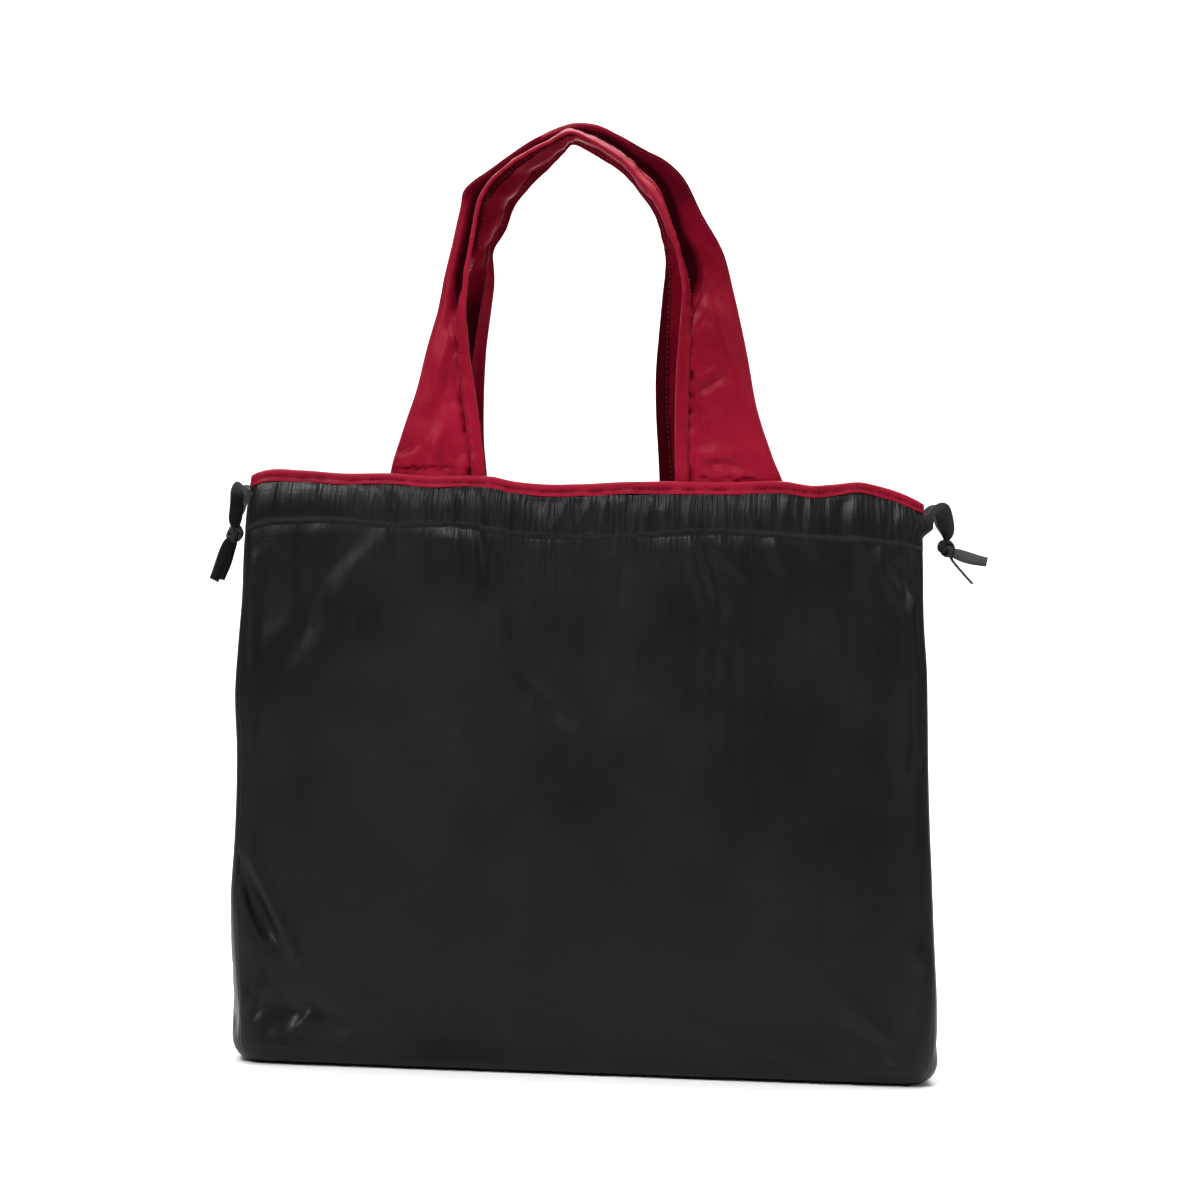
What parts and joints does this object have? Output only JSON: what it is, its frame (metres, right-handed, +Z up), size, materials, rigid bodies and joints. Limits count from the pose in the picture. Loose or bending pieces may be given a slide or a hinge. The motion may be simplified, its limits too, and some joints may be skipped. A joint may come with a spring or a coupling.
{
  "type": "foldable tote bag",
  "caption": "Soft cloth tote bag with a flat base, a gathered drawcord channel, a bound mouth, swinging cloth handles and flat cords knotted at both ends.",
  "frame": {"origin": "on the surface that the bag stands on, under the middle of its bounding box", "axes": "+Z up; -Y towards the front; +X towards the right end as seen from the front"},
  "size_m": [0.4736, 0.1052, 0.5687],
  "materials": {
    "body_cloth": "satin",
    "seam_tape": "matte",
    "binding": "satin",
    "handle_cloth": "satin",
    "cord": "matte"
  },
  "bodies": {
    "bag": {"base_panel": "body_cloth", "base_seam_tape": "seam_tape", "left_gusset": "body_cloth", "right_gusset": "body_cloth", "front_panel": "body_cloth", "back_panel": "body_cloth", "left_binding": "binding", "right_binding": "binding", "front_binding": "binding", "back_binding": "binding", "front_channel_facing": "seam_tape", "back_channel_facing": "seam_tape", "front_left_seam_tape": "seam_tape", "back_left_seam_tape": "seam_tape", "front_right_seam_tape": "seam_tape", "back_right_seam_tape": "seam_tape", "front_left_strap_end": "handle_cloth", "front_right_strap_end": "handle_cloth", "back_left_strap_end": "handle_cloth", "back_right_strap_end": "handle_cloth"},
    "front_handle": {"front_handle": "handle_cloth", "front_handle_hem": "binding"},
    "back_handle": {"back_handle": "handle_cloth", "back_handle_hem": "binding"},
    "left_cord": {"left_knot": "cord", "front_left_cord": "cord", "front_left_tail": "cord", "back_left_cord": "cord", "back_left_tail": "cord"},
    "right_cord": {"right_knot": "cord", "front_right_cord": "cord", "front_right_tail": "cord", "back_right_cord": "cord", "back_right_tail": "cord"}
  },
  "joints": [
    {"name": "front_handle_swing", "type": "hinge", "parent": "bag", "child": "front_handle", "pos_m": [0, -0.0325, 0.3505], "axis": [1, 0, 0], "range_deg": [0, 168]},
    {"name": "back_handle_swing", "type": "hinge", "parent": "bag", "child": "back_handle", "pos_m": [0, 0.0325, 0.3505], "axis": [-1, 0, 0], "range_deg": [0, 168]},
    {"name": "left_cord_pull", "type": "slide", "parent": "bag", "child": "left_cord", "axis": [-1, 0, 0], "range_m": [0, 0.06]},
    {"name": "right_cord_pull", "type": "slide", "parent": "bag", "child": "right_cord", "axis": [1, 0, 0], "range_m": [0, 0.06]}
  ]
}
